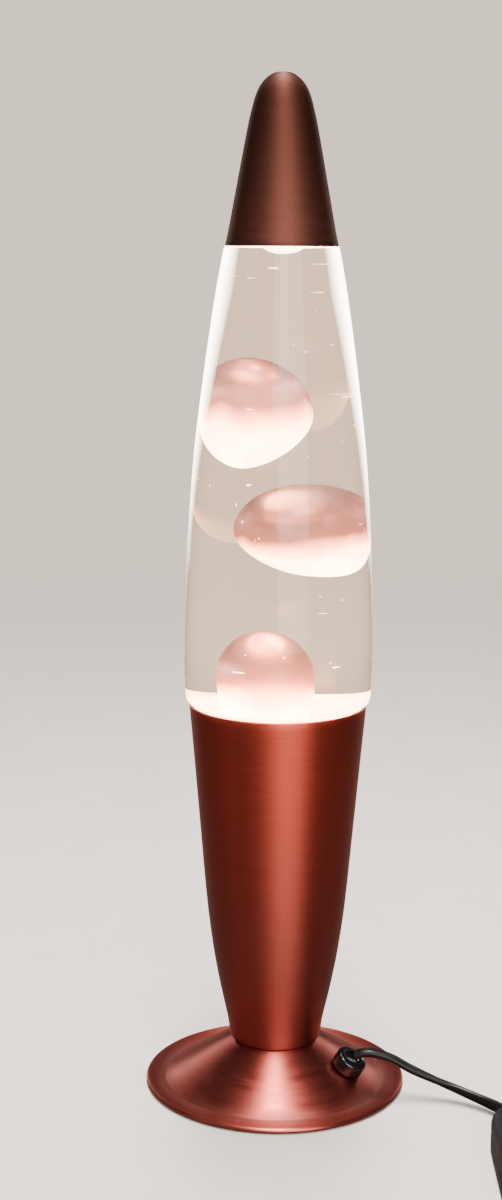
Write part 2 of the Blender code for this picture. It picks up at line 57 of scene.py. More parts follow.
# Sheet metal
SHEET = 1.0
FOOT_TOP = (19.2, 19.5)
FOOT_CREASE = (46.0, 3.0)
BRIM_RADIUS = 55.1
CENTRE_HOLE = 5.3
BODY_FLOOR = 20.3
BODY_OUTLINE = [(19.1, 21.3), (20.6, 30.0), (23.6, 43.5), (26.6, 60.0),
                (29.2, 80.0), (31.9, 110.0), (34.5, 140.0), (36.8, 165.6)]
CAP_EDGE = (22.7, 352.2)
CAP_TIP = 420.0

# Bottle and wax
WAX_FLOOR = 131.2
POOL_TOP = 166.5
LIQUID_TOP = 369.0
# strength of the glow painted into the wax as emission, standing in for the bulb's light through it
WAX_GLOW = 36.0
WAX_GLOW_LOWEST = 1.2
BUBBLES = 70

# Cord
CORD_WIDTH = 5.4
CORD_THICK = 3.2
BUSHING_ANGLE = math.radians(-24.5)
BUSHING_DISTANCE = 33.0
SWITCH_CENTRE = (99.0, -90.0)
SWITCH_HALF = (13.5, 32.0)
SWITCH_SPLIT = 9.0
SWITCH_SCREW = (6.0, 25.5)
COIL_CENTRE = (154.5, -97.0)
PLUG_Z = 19.3
PLUG_REAR, PLUG_FRONT = -74.0, -110.0


# ---------------- curves and meshes

def spline(points, steps=8):
    """Smooth curve through points of any dimension, with even steps in each span."""
    spots = [np.array(point, float) for point in points]
    spots = [2 * spots[0] - spots[1]] + spots + [2 * spots[-1] - spots[-2]]
    curve = []
    for before, start, end, after in zip(spots, spots[1:], spots[2:], spots[3:]):
        for step in range(steps):
            t = step / steps
            curve.append(0.5 * (2 * start + (end - before) * t
                                + (2 * before - 5 * start + 4 * end - after) * t * t
                                + (3 * start - before - 3 * end + after) * t ** 3))
    curve.append(spots[-2])
    return curve


def arc(centre, radius, start, end, steps=6):
    """Points on a circle, from one angle to another in degrees."""
    angles = [math.radians(start + (end - start) * step / steps) for step in range(steps + 1)]
    return [(centre[0] + radius * math.cos(angle), centre[1] + radius * math.sin(angle))
            for angle in angles]


def new_object(name, shape, finishes, sharp=40):
    """Turn a bmesh into a smooth object whose edges are sharp above an angle in degrees."""
    bmesh.ops.remove_doubles(shape, verts=shape.verts, dist=1e-7)
    bmesh.ops.recalc_face_normals(shape, faces=shape.faces)
    data = bpy.data.meshes.new(name)
    shape.to_mesh(data)
    shape.free()
    data.shade_smooth()
    data.set_sharp_from_angle(angle=math.radians(sharp))
    for finish in finishes:
        data.materials.append(finish)
    made = bpy.data.objects.new(name, data)
    bpy.context.scene.collection.objects.link(made)
    return made


def lathe(name, profile, finishes, sides=144, ripple=None, slot_of=None, sharp=40):
    """Spin a closed profile of (radius, height) about Z. ripple gives a point's radius and
    height at an angle, and slot_of a face's material slot from its profile index."""
    shape = bmesh.new()
    columns, on_axis = [], {}
    for step in range(sides):
        angle = FULL_TURN * step / sides
        column = []
        for index, (radius, height) in enumerate(profile):
            if radius < 1e-6:
                if index not in on_axis:
                    on_axis[index] = shape.verts.new((0, 0, height * MM))
                column.append(on_axis[index])
                continue
            if ripple:
                radius, height = ripple(radius, height, angle)
            spot = Vector((radius * math.cos(angle), radius * math.sin(angle), height))
            column.append(shape.verts.new(spot * MM))
        columns.append(column)
    for here, there in zip(columns, columns[1:] + columns[:1]):
        for index in range(len(profile)):
            after = (index + 1) % len(profile)
            corners = []
            for spot in (here[index], here[after], there[after], there[index]):
                if spot not in corners:
                    corners.append(spot)
            if len(corners) > 2:
                face = shape.faces.new(corners)
                face.material_index = slot_of(index) if slot_of else 0
    return new_object(name, shape, finishes, sharp)


def lofted(name, loops, finishes, sharp=40):
    """Skin a stack of loops with equal numbers of points, and close both ends."""
    shape = bmesh.new()
    rings = [[shape.verts.new(Vector(spot) * MM) for spot in loop] for loop in loops]
    for lower, upper in zip(rings, rings[1:]):
        for index in range(len(lower)):
            after = (index + 1) % len(lower)
            shape.faces.new((lower[index], lower[after], upper[after], upper[index]))
    shape.faces.new(rings[0])
    shape.faces.new(rings[-1])
    return new_object(name, shape, finishes, sharp)


def rounded_outline(half_x, half_y, corner, steps=8):
    """Corner-rounded rectangle about the origin, counter-clockwise."""
    points = []
    for turn, (side_x, side_y) in enumerate([(1, 1), (-1, 1), (-1, -1), (1, -1)]):
        for step in range(steps + 1):
            angle = math.pi / 2 * (turn + step / steps)
            points.append((side_x * (half_x - corner) + corner * math.cos(angle),
                           side_y * (half_y - corner) + corner * math.sin(angle)))
    return points


def tip_onto(piece, point, direction):
    """Move a piece built about Z so that its origin is at a point and its Z along a direction."""
    turn = Vector((0, 0, 1)).rotation_difference(Vector(direction)).to_matrix().to_4x4()
    piece.data.transform(Matrix.Translation(Vector(point) * MM) @ turn)
    return piece


def cut(piece, *cutters):
    """Boolean differences, applied, so that the cutters can go."""
    for cutter in cutters:
        change = piece.modifiers.new("cut", "BOOLEAN")
        change.operation = "DIFFERENCE"
        change.object = cutter
    bpy.context.view_layer.update()
    shown = piece.evaluated_get(bpy.context.evaluated_depsgraph_get())
    data = bpy.data.meshes.new_from_object(shown)
    piece.modifiers.clear()
    piece.data = data
    for cutter in cutters:
        bpy.data.objects.remove(cutter)
    data.set_sharp_from_angle(angle=math.radians(35))


# ---------------- materials

class Paint:
    """A material whose nodes are added with short calls."""

    def __init__(self, name, colour, roughness, **sockets):
        self.material = bpy.data.materials.new(name)
        self.material.use_nodes = True
        self.tree = self.material.node_tree
        self.shader = self.tree.nodes["Principled BSDF"]
        self.output = self.tree.nodes["Material Output"]
        self.shader.inputs["Base Color"].default_value = (*colour, 1.0)
        self.shader.inputs["Roughness"].default_value = roughness
        for key, value in sockets.items():
            self.shader.inputs[key.replace("_", " ")].default_value = value
        self.place = self.add("ShaderNodeTexCoord").outputs["Object"]

    def add(self, kind, inputs=(), **settings):
        """Add a node. inputs holds, for each of its sockets, a socket to link or a value."""
        made = self.tree.nodes.new(kind)
        for key, value in settings.items():
            setattr(made, key, value)
        for key, value in dict(inputs).items():
            if isinstance(value, bpy.types.NodeSocket):
                self.tree.links.new(value, made.inputs[key])
            else:
                made.inputs[key].default_value = value
        return made

    def math(self, operation, first, second=0.0):
        return self.add("ShaderNodeMath", {0: first, 1: second}, operation=operation).outputs[0]

    def noise(self, vector, scale, detail=3.0, roughness=0.5, distortion=0.0):
        inputs = {"Vector": vector, "Scale": scale, "Detail": detail, "Roughness": roughness,
                  "Distortion": distortion}
        return self.add("ShaderNodeTexNoise", inputs).outputs["Fac"]

    def ramp(self, factor, *stops):
        """Colour ramp from (position, colour) stops."""
        made = self.add("ShaderNodeValToRGB", {"Fac": factor})
        elements = made.color_ramp.elements
        while len(elements) < len(stops):
            elements.new(0.5)
        for element, (position, colour) in zip(elements, stops):
            element.position = position
            element.color = (*colour, 1.0)
        return made.outputs["Color"]

    def range(self, value, low, high, to_low=0.0, to_high=1.0):
        """The value carried from low..high to to_low..to_high, and held at its ends."""
        inputs = {"Value": value, "From Min": low, "From Max": high,
                  "To Min": to_low, "To Max": to_high}
        return self.add("ShaderNodeMapRange", inputs).outputs["Result"]

    def vector(self, x=0.0, y=0.0, z=0.0):
        return self.add("ShaderNodeCombineXYZ", {0: x, 1: y, 2: z}).outputs[0]

    def mix(self, factor, first, second):
        made = self.add("ShaderNodeMix", data_type="RGBA")
        sockets = (made.inputs[0], made.inputs[6], made.inputs[7])
        for socket, value in zip(sockets, (factor, first, second)):
            if isinstance(value, bpy.types.NodeSocket):
                self.tree.links.new(value, socket)
            elif hasattr(value, "__len__"):
                socket.default_value = (*value, 1.0)
            else:
                socket.default_value = value
        return made.outputs[2]

    def bump(self, height, strength, distance):
        inputs = {"Height": height, "Strength": strength, "Distance": distance}
        made = self.add("ShaderNodeBump", inputs)
        self.tree.links.new(made.outputs["Normal"], self.shader.inputs["Normal"])

    def set(self, socket, value):
        self.tree.links.new(value, self.shader.inputs[socket])

    def split(self, vector=None):
        """The x, y and z of a vector, or of the place on the object."""
        return list(self.add("ShaderNodeSeparateXYZ", {"Vector": vector or self.place}).outputs)

    def see_through(self, share):
        """Let this share of every ray pass straight through."""
        clear = self.add("ShaderNodeBsdfTransparent")
        both = self.add("ShaderNodeMixShader", {0: share})
        self.tree.links.new(self.shader.outputs[0], both.inputs[1])
        self.tree.links.new(clear.outputs[0], both.inputs[2])
        self.tree.links.new(both.outputs[0], self.output.inputs["Surface"])

    def open_to_light(self):
        """Shadow rays pass straight through, so that what is inside is lit."""
        self.see_through(self.add("ShaderNodeLightPath").outputs["Is Shadow Ray"])


def spun_metal(name, dark, light, roughness, stretch=0.7, depth=0.16, dust_and_shade=0.0, painted_shade=None):
    """Anodised sheet with fine brushing that runs round the lamp's axis, depth being how
    strongly it shows. dust_and_shade lays dust on what faces up, up to six times thicker along
    the foot's crease, where its dark colour is painted shade as well as dust.
    painted_shade is (height of the unshaded tone, height of the shaded tone, shade colour): painted
    shade that darkens the colour towards one end."""
    paint = Paint(name, light, roughness, Metallic=1.0, Anisotropic=stretch,
                  Anisotropic_Rotation=0.25)
    tangent = paint.add("ShaderNodeTangent", direction_type="RADIAL", axis="Z")
    paint.set("Tangent", tangent.outputs[0])
    x, y, z = paint.split()
    flat = {0: paint.vector(x, y)}
    away = paint.add("ShaderNodeVectorMath", flat, operation="LENGTH").outputs["Value"]
    around = paint.add("ShaderNodeVectorMath", flat, operation="NORMALIZE").outputs["Vector"]
    along = paint.math("ADD", z, away)
    cosine, sine = paint.split(around)[:2]

    def rings(lines_per_metre, spread):
        vector = paint.vector(paint.math("MULTIPLY", cosine, spread),
                              paint.math("MULTIPLY", sine, spread),
                              paint.math("MULTIPLY", along, lines_per_metre))
        return paint.noise(vector, 1.0, 2.0, 0.6)

    fine, coarse = rings(5200.0, 2.6), rings(900.0, 1.1)
    cloudy = paint.noise(paint.place, 38.0, 3.0)
    tone = paint.math("ADD", paint.math("MULTIPLY", coarse, 0.3),
                      paint.math("MULTIPLY", fine, 0.7))
    colour = paint.ramp(tone, (0.30, dark), (0.70, light))
    rough = paint.range(tone, 0.3, 0.7, roughness - 0.06, roughness + 0.08)
    # painted shade: the colour darkens towards one end of the piece
    if painted_shade:
        unshaded_at, shaded_at, shade_colour = painted_shade
        colour = paint.mix(paint.range(z, unshaded_at, shaded_at), colour, shade_colour)
    if dust_and_shade:
        up = paint.split(paint.add("ShaderNodeNewGeometry").outputs["Normal"])[2]
        lying = paint.math("MULTIPLY", paint.range(up, 0.3, 0.95),
                           paint.range(cloudy, 0.3, 0.7, 0.25, 1.0))
        # along the crease the dark dust is laid up to six times thicker: dust, and painted shade in the
        # crease
        crease = 1.02 * FOOT_CREASE[0] * MM
        from_crease = paint.math("ABSOLUTE", paint.math("SUBTRACT", away, crease))
        crease_dust_and_shade = paint.range(from_crease, 0.0005, 0.005, 6.0, 1.0)
        amount = paint.math("MULTIPLY", paint.math("MULTIPLY", lying, crease_dust_and_shade), dust_and_shade)
        colour = paint.mix(amount, colour, (0.17, 0.125, 0.115))
        rough = paint.math("ADD", rough, paint.math("MULTIPLY", amount, 0.35))
    paint.set("Base Color", colour)
    paint.set("Roughness", rough)
    paint.bump(paint.math("ADD", fine, paint.math("MULTIPLY", coarse, 0.3)), depth, 0.00005)
    return paint.material


def clear_glass(name, index, tint=(1.0, 0.985, 0.965), painted_veil=0.0, painted_edge_glow=0.0):
    """Glass or liquid. painted_veil is a faint warm glow painted in for the light that a liquid
    scatters, and painted_edge_glow a glow painted in at grazing angles for the light that the wall
    carries up and lets out, as far as the cap's edge."""
    paint = Paint(name, tint, 0.0, Transmission_Weight=1.0, IOR=index, Specular_IOR_Level=0.12)
    # painted glow of the liquid, as strong as painted_veil
    paint.shader.inputs["Emission Color"].default_value = (1.0, 0.74, 0.62, 1.0)
    paint.shader.inputs["Emission Strength"].default_value = painted_veil
    x, y, z = paint.split()
    if index > 1.0:
        drawn_out = paint.vector(x, y, paint.math("MULTIPLY", z, 0.25))
        paint.bump(paint.noise(drawn_out, 45.0, 1.0), 0.05, 0.0006)
    # painted edge glow: emission on the outer face, brightest at grazing angles and higher up, dimmed
    # above the cap's edge
    if painted_edge_glow:
        start = paint.range(z, 0.215, 0.335, 0.82, 0.33)
        facing = paint.add("ShaderNodeLayerWeight", {"Blend": 0.5}).outputs["Facing"]
        share = paint.math("DIVIDE", paint.math("SUBTRACT", facing, start), 0.30)
        inside = paint.add("ShaderNodeNewGeometry").outputs["Backfacing"]
        level = paint.math("MULTIPLY", paint.range(share, 0.0, 1.0),
                           paint.math("SUBTRACT", 1.0, inside))
        paint.shader.inputs["Emission Color"].default_value = (1.0, 0.86, 0.76, 1.0)
        power = paint.range(z, 0.20, 0.29, painted_edge_glow * 0.2, painted_edge_glow)
        up_to_cap = paint.range(z, 0.3525, 0.356, 1.0, 0.12)
        power = paint.math("MULTIPLY", power, up_to_cap)
        paint.set("Emission Strength", paint.math("MULTIPLY", level, power))
    paint.open_to_light()
    return paint.material


def pearly_wax_with_painted_light(name, low, high, white_to, highlight_at, depth=1.0, dim_at=None):
    """Rose wax with a drifting pearl tone, lit from below, with that light painted in: its colour is
    paler low down and darker at the top, and it carries an emission glow and a painted highlight band.
    low and high are heights in metres. white_to is the share of the way up below which the painted
    glow burns it white, highlight_at the share where the painted highlight is brightest, and depth
    scales the colour above the white, painting one drop darker than another as shade. With dim_at,
    the glow fades from low down to that height."""
    paint = Paint(name, (0.8, 0.42, 0.38), 0.38, Metallic=0.85, Coat_Weight=0.5,
                  Coat_Roughness=0.25)
    z = paint.split()[2]
    swirl = paint.noise(paint.place, 24.0, 3.0, 0.5, 0.4)
    sway = paint.math("MULTIPLY", paint.math("SUBTRACT", swirl, 0.5), (high - low) / 2)
    level = paint.range(paint.math("ADD", z, sway), low, high)
    cloud = paint.range(paint.noise(paint.place, 40.0, 3.0, 0.5, 0.5), 0.35, 0.7)
    rose, shaded_top = times((0.62, 0.27, 0.20), depth), times((0.44, 0.18, 0.15), depth)
    pearly = times((0.56, 0.32, 0.34), depth)
    # painted light and shade in the colour: pale low down where the bulb lights it, darker at the top
    body = paint.ramp(level, (0.0, (0.90, 0.60, 0.46)), (white_to, rose), (1.0, shaded_top))
    paint.set("Base Color", paint.mix(paint.math("MULTIPLY", cloud, 0.6), body, pearly))

    def grey(*stops):
        return paint.ramp(level, *((spot, (value, value, value)) for spot, value in stops))

    # painted highlight: a band of extra emission round each drop's upper part, broken up by noise
    highlight_band = grey((0.0, 0.0), (highlight_at - 0.17, 0.0), (highlight_at, 1.0), (highlight_at + 0.13, 0.0),
                (1.0, 0.0))
    painted_highlight = paint.math("MULTIPLY", highlight_band, paint.range(cloud, 0.15, 0.75))
    warm = paint.ramp(level, (0.0, (1.0, 0.72, 0.48)), (white_to * 0.7, (1.0, 0.58, 0.32)),
                      (white_to + 0.10, (1.0, 0.26, 0.16)), (1.0, (1.0, 0.30, 0.22)))
    paint.set("Emission Color", paint.mix(painted_highlight, warm, (1.0, 0.50, 0.48)))
    # painted glow: emission white low down, fading out towards the top
    power = grey((0.0, 1.0), (white_to * 0.6, 0.8), (white_to, 0.30), (white_to + 0.13, 0.03),
                 (0.85, 0.0), (1.0, 0.0))
    shine = paint.math("MULTIPLY", painted_highlight, 0.034)
    strength = paint.range(z, dim_at, low, WAX_GLOW_LOWEST, WAX_GLOW) if dim_at else WAX_GLOW
    light = paint.math("ADD", power, shine)
    paint.set("Emission Strength", paint.math("MULTIPLY", light, strength))
    return paint.material


def moulded(name, colour, roughness, grain=0.35, coat=0.0, shine=0.5):
    """Moulded plastic or rubber: a fine grain and slightly uneven gloss."""
    paint = Paint(name, colour, roughness, Coat_Weight=coat, Coat_Roughness=0.2,
                  Specular_IOR_Level=shine)
    uneven = paint.noise(paint.place, 160.0, 3.0)
    paint.set("Roughness", paint.range(uneven, 0.3, 0.7, roughness - 0.03, roughness + 0.05))
    lighter = tuple(min(1.0, value * 1.7 + 0.002) for value in colour)
    paint.set("Base Color", paint.ramp(uneven, (0.35, colour), (0.8, lighter)))
    paint.bump(paint.noise(paint.place, 2600.0, 2.0), grain, 0.00004)
    return paint.material


def plain_metal(name, dark, light, roughness, lines=900.0):
    """Plated or rolled metal with drawn lines and light tarnish."""
    paint = Paint(name, light, roughness, Metallic=1.0)
    inputs = {"Vector": paint.place, "Scale": (1.0, 1.0, 12.0)}
    drawn = paint.noise(paint.add("ShaderNodeMapping", inputs).outputs[0], lines, 2.0)
    stain = paint.noise(paint.place, 140.0, 4.0, 0.6)
    paint.set("Base Color", paint.ramp(stain, (0.3, dark), (0.65, light)))
    paint.set("Roughness", paint.range(drawn, 0.3, 0.7, roughness - 0.07, roughness + 0.1))
    paint.bump(drawn, 0.2, 0.00005)
    return paint.material


def times(colour, factor):
    return [value * factor for value in colour]


def rough_cast(name, colour):
    paint = Paint(name, colour, 0.75, Metallic=0.5)
    grit = paint.noise(paint.place, 900.0, 5.0, 0.7)
    paint.set("Base Color", paint.ramp(grit, (0.3, times(colour, 0.5)), (0.8, times(colour, 1.6))))
    paint.bump(grit, 0.8, 0.0003)
    return paint.material


def pressed_felt(name, colour):
    paint = Paint(name, colour, 0.95, Sheen_Weight=0.5)
    fibre = paint.noise(paint.place, 2200.0, 4.0, 0.7, 1.5)
    paint.set("Base Color", paint.ramp(fibre, (0.3, times(colour, 0.6)), (0.75, times(colour, 2.2))))
    paint.bump(fibre, 0.9, 0.0003)
    return paint.material


def glowing(name, colour, strength):
    """Frosted, lit bulb glass, brightest towards its upper end."""
    paint = Paint(name, (0.95, 0.93, 0.9), 0.35)
    z = paint.split()[2]
    level = paint.range(z, 0.06, 0.1)
    speck = paint.noise(paint.place, 500.0, 2.0)
    paint.set("Emission Color", paint.ramp(speck, (0.0, colour), (1.0, (1.0, 0.9, 0.75))))
    paint.set("Emission Strength", paint.math("MULTIPLY", level, strength))
    return paint.material


def bubble_skin():
    """The liquid's side of a bubble of air, with a painted glow for the light of the bottle in it."""
    # painted glint: a faint emission on every bubble
    paint = Paint("bubble", (1.0, 1.0, 1.0), 0.0, Transmission_Weight=1.0, IOR=0.75,
                  Emission_Strength=0.8)
    paint.shader.inputs["Emission Color"].default_value = (1.0, 0.9, 0.8, 1.0)
    paint.open_to_light()
    return paint.material


def make_materials():
    return {
        # cap: painted shade darkens its colour towards the tip
        "cap_metal": spun_metal("cap_metal", (0.12, 0.041, 0.029), (0.17, 0.061, 0.044), 0.64,
                                stretch=0.5, painted_shade=(0.362, 0.412, (0.085, 0.028, 0.020))),
        # body: painted shade darkens its colour towards the lower end
        "body_metal": spun_metal("body_metal", (0.52, 0.070, 0.046), (0.60, 0.102, 0.070), 0.46,
                                 painted_shade=(0.14, 0.03, (0.32, 0.076, 0.060))),
        "foot_metal": spun_metal("foot_metal", (0.58, 0.110, 0.084), (0.70, 0.155, 0.120), 0.36,
                                 stretch=0.72, depth=0.09, dust_and_shade=0.11),
        "glass": clear_glass("glass", 1.42, painted_edge_glow=12.0),
        "glass_wet": clear_glass("glass_wet", 1.0, (1.0, 1.0, 1.0)),
        "liquid": clear_glass("liquid", 1.0, (1.0, 0.80, 0.66), painted_veil=0.15),
        "liquid_top": clear_glass("liquid_top", 1.36),
        "plastic": moulded("black_plastic", (0.005, 0.005, 0.006), 0.40, grain=0.2, shine=0.4),
        "gloss": moulded("black_gloss", (0.003, 0.003, 0.003), 0.16, 0.05, coat=0.2, shine=0.4),
        "rocker": moulded("rocker_plastic", (0.008, 0.008, 0.009), 0.20, 0.1, coat=0.3),
        "cord": moulded("cord_jacket", (0.0025, 0.0025, 0.0025), 0.36, grain=0.3, shine=0.25),
        "liner": moulded("liner_rubber", (0.35, 0.33, 0.30), 0.6),
        "bakelite": moulded("bakelite", (0.045, 0.022, 0.012), 0.25, 0.1, coat=0.4),
        "brown": moulded("brown_insulation", (0.16, 0.06, 0.025), 0.45),
        "blue": moulded("blue_insulation", (0.02, 0.08, 0.38), 0.45),
        "brass": plain_metal("brass", (0.42, 0.27, 0.10), (0.80, 0.60, 0.28), 0.28),
        "zinc": plain_metal("zinc", (0.40, 0.41, 0.40), (0.68, 0.69, 0.68), 0.34),
        "tin": plain_metal("tinplate", (0.50, 0.48, 0.42), (0.78, 0.76, 0.70), 0.42),
        "nickel": plain_metal("nickel", (0.60, 0.57, 0.52), (0.80, 0.78, 0.73), 0.18),
        "wire": plain_metal("wire", (0.35, 0.35, 0.34), (0.62, 0.62, 0.60), 0.3),
        "iron": rough_cast("iron", (0.10, 0.10, 0.10)),
        "felt": pressed_felt("felt", (0.02, 0.02, 0.022)),
        "bulb": glowing("lit_bulb", (1.0, 0.72, 0.42), 5.0),
        "bubble": bubble_skin(),
    }


# ---------------- camera, lights and floor

def make_camera():
    forward = Vector((-math.sin(TURN_LEFT) * math.cos(LOOK_DOWN),
                      math.cos(TURN_LEFT) * math.cos(LOOK_DOWN), -math.sin(LOOK_DOWN)))
    right = Vector((math.cos(TURN_LEFT), math.sin(TURN_LEFT), 0.0))
    up = right.cross(forward)
    rolled_right = math.cos(ROLL) * right + math.sin(ROLL) * up
    rolled_up = math.cos(ROLL) * up - math.sin(ROLL) * right
    data = bpy.data.cameras.new("camera")
    data.lens = LENS
    data.sensor_width = 36.0
    data.clip_start = 0.01
    camera = bpy.data.objects.new("camera", data)
    bpy.context.scene.collection.objects.link(camera)
    turn = Matrix((rolled_right, rolled_up, -forward)).transposed().to_4x4()
    camera.matrix_world = Matrix.Translation(CAMERA_PLACE) @ turn
    bpy.context.scene.camera = camera


def softbox(name, place, aim, size, power, colour=(1.0, 1.0, 1.0)):
    data = bpy.data.lights.new(name, "AREA")
    data.shape = "RECTANGLE"
    data.size, data.size_y = size
    data.energy = power
    data.color = colour
    lamp = bpy.data.objects.new(name, data)
    bpy.context.scene.collection.objects.link(lamp)
    lamp.location = place
    lamp.rotation_euler = (Vector(aim) - Vector(place)).to_track_quat("-Z", "Y").to_euler()
    lamp.visible_camera = False
    lamp.visible_transmission = False


def make_studio():
    middle = (0.0, 0.0, 0.2)
    softbox("key", (0.40, -1.27, 0.50), middle, (0.95, 1.1), 18.0, (1.0, 0.95, 0.90))
    softbox("above", (0.0, 0.10, 1.3), (0.0, 0.0, 0.0), (0.22, 1.0), 46.0, (1.0, 0.94, 0.90))
    softbox("high", (0.0, -1.20, 0.88), middle, (0.6, 0.9), 8.0, (1.0, 0.95, 0.92))
    softbox("fill", (-1.2, -0.55, 0.5), middle, (0.25, 0.9), 0.5, (0.97, 0.98, 1.0))
    softbox("rim", (0.75, 1.2, 0.5), middle, (0.22, 1.0), 1.6, (1.0, 0.98, 0.95))
    softbox("back", (-0.75, 1.2, 0.5), middle, (0.22, 1.0), 1.6, (1.0, 0.98, 0.95))
    world = bpy.data.worlds.new("studio")
    world.use_nodes = True
    tree = world.node_tree
    path = tree.nodes.new("ShaderNodeLightPath").outputs

    def combine(operation, first, second):
        made = tree.nodes.new("ShaderNodeMath")
        made.operation = operation
        for socket, value in zip(made.inputs, (first, second)):
            if isinstance(value, float):
                socket.default_value = value
            else:
                tree.links.new(value, socket)
        return made.outputs[0]

    # rays that only passed through glass see the pale backdrop, mirror rays a dark room
    room, less_in_mirrors, backdrop = 0.55, 0.48, 1.2
    seen = combine("LESS_THAN", combine("ADD", path["Diffuse Depth"], path["Glossy Depth"]), 0.5)
    mirrored = combine("GREATER_THAN", path["Glossy Depth"], 0.5)
    dim = tree.nodes["Background"]
    dim.inputs["Color"].default_value = (0.80, 0.78, 0.76, 1.0)
    darker = combine("MULTIPLY", mirrored, less_in_mirrors)
    tree.links.new(combine("SUBTRACT", room, darker), dim.inputs["Strength"])
    pale = tree.nodes.new("ShaderNodeBackground")
    pale.inputs["Color"].default_value = (1.0, 0.86, 0.72, 1.0)
    pale.inputs["Strength"].default_value = backdrop
    both = tree.nodes.new("ShaderNodeMixShader")
    tree.links.new(seen, both.inputs[0])
    tree.links.new(dim.outputs[0], both.inputs[1])
    tree.links.new(pale.outputs[0], both.inputs[2])
    tree.links.new(both.outputs[0], tree.nodes["World Output"].inputs["Surface"])
    bpy.context.scene.world = world


def make_floor():
    """A pale round floor that fades out into the background, and is dark to mirror rays."""
    shape = bmesh.new()
    bmesh.ops.create_circle(shape, cap_ends=True, segments=96, radius=FLOOR_RADIUS)
    paint = Paint("floor_pale", (0.62, 0.59, 0.55), 0.8)
    path = paint.add("ShaderNodeLightPath").outputs
    mirrored = paint.math("GREATER_THAN", path["Glossy Depth"], 0.5)
    grain = paint.ramp(paint.noise(paint.place, 30.0, 4.0), (0.3, (0.66, 0.63, 0.59)),
                       (0.7, (0.70, 0.67, 0.63)))
    paint.set("Base Color", paint.mix(mirrored, grain, (0.07, 0.06, 0.055)))
    away = paint.add("ShaderNodeVectorMath", {0: paint.place}, operation="LENGTH")
    paint.see_through(paint.range(away.outputs["Value"], *FLOOR_FADE))
    floor = new_object("floor", shape, [paint.material])
    floor.location.z = -0.00005


# ---------------- cord

def cord_section():
    """The outline of a flat twin cord: two round cores side by side, with a groove between."""
    core = CORD_THICK / 2
    apart = CORD_WIDTH / 2 - core
    reach = 180 - math.degrees(math.acos(apart / core)) - 6
    right = arc((apart, 0.0), core, -reach, reach, 10)
    return right + [(-x, -y) for x, y in right]


def sweep(name, path, twist, finish):
    """Sweep the flat cord along a path. twist lists (share of the length, degrees): 0 lays
    the wide side level and 90 stands it on edge. The length comes back in metres."""
    path = [np.array(spot) for spot in path]
    lengths = np.cumsum([0.0] + [np.linalg.norm(b - a) for a, b in zip(path, path[1:])])
    shares, angles = zip(*twist)
    shape = bmesh.new()
    rings = []
    section = cord_section()
    for index, spot in enumerate(path):
        ahead = Vector(path[min(index + 1, len(path) - 1)] - path[max(index - 1, 0)]).normalized()
        level = ahead.cross(Vector((0, 0, 1))).normalized()
        raised = level.cross(ahead)
        turn = math.radians(np.interp(lengths[index] / lengths[-1], shares, angles))
        wide = math.cos(turn) * level + math.sin(turn) * raised
        thin = ahead.cross(wide)
        rings.append([shape.verts.new((Vector(spot) + wide * x + thin * y) * MM) for x, y in section])
    for here, there in zip(rings, rings[1:]):
        for index in range(len(section)):
            after = (index + 1) % len(section)
            shape.faces.new((here[index], here[after], there[after], there[index]))
    shape.faces.new(rings[0])
    shape.faces.new(rings[-1])
    return new_object(name, shape, [finish], 50), float(lengths[-1]) * MM


LAMP_TO_SWITCH = [(33.8, -15.45, 17.4), (37.2, -15.7, 18.6), (41.5, -16.0, 18.7),
                  (49.0, -16.8, 16.8), (57.0, -18.0, 12.8), (66.0, -19.6, 9.2),
                  (76.0, -22.4, 6.0), (85.5, -28.4, 4.2), (93.3, -36.6, 4.0),
                  (97.6, -45.0, 4.6), (99.0, -52.0, 5.3), (99.0, -57.3, 5.5)]
SWITCH_TO_COIL = [(99.0, -122.9, 5.5), (99.6, -128.0, 5.0), (104.0, -134.2, 4.0),
                  (110.8, -140.2, 3.4), (119.7, -144.4, 3.2), (130.0, -146.6, 3.2),
                  (141.1, -146.8, 3.3), (152.3, -144.6, 3.5), (162.9, -140.0, 3.7),
                  (171.7, -134.2, 3.8)]
COIL_TO_PLUG = [(188.1, -76.0, 10.9), (188.4, -68.0, 12.0), (188.1, -60.0, 13.3),
                (186.1, -51.2, 14.7), (181.3, -43.8, 16.1), (173.9, -39.4, 17.4),
                (165.9, -40.0, 18.4), (159.1, -44.4, 19.0), (155.4, -50.2, 19.3),
                (154.5, -55.3, 19.3)]


def coil_turns():
    """Six turns about the coil's centre: three inwards on the lower layer, then three outwards
    on the upper one, each stepping over to the next in its last fifth."""
    radii = [33.6, 30.2, 26.8, 26.8, 30.2, 33.6, 33.6]
    heights = [3.9, 3.9, 3.9, 9.3, 9.3, 9.3, 9.3]
    start, steps = math.radians(-20), 36
    points = []
    for step in range(6 * steps + 3):
        turn = min(int(step / steps), 5)
        part = step / steps - turn
        over = min(1.0, max(0.0, (part - 0.8) / 0.2))
        over = over * over * (3 - 2 * over)
        radius = radii[turn] + (radii[turn + 1] - radii[turn]) * over
        height = heights[turn] + (heights[turn + 1] - heights[turn]) * over
        angle = start + FULL_TURN * step / steps
        points.append((COIL_CENTRE[0] + radius * math.cos(angle),
                       COIL_CENTRE[1] + radius * math.sin(angle), height))
    return points


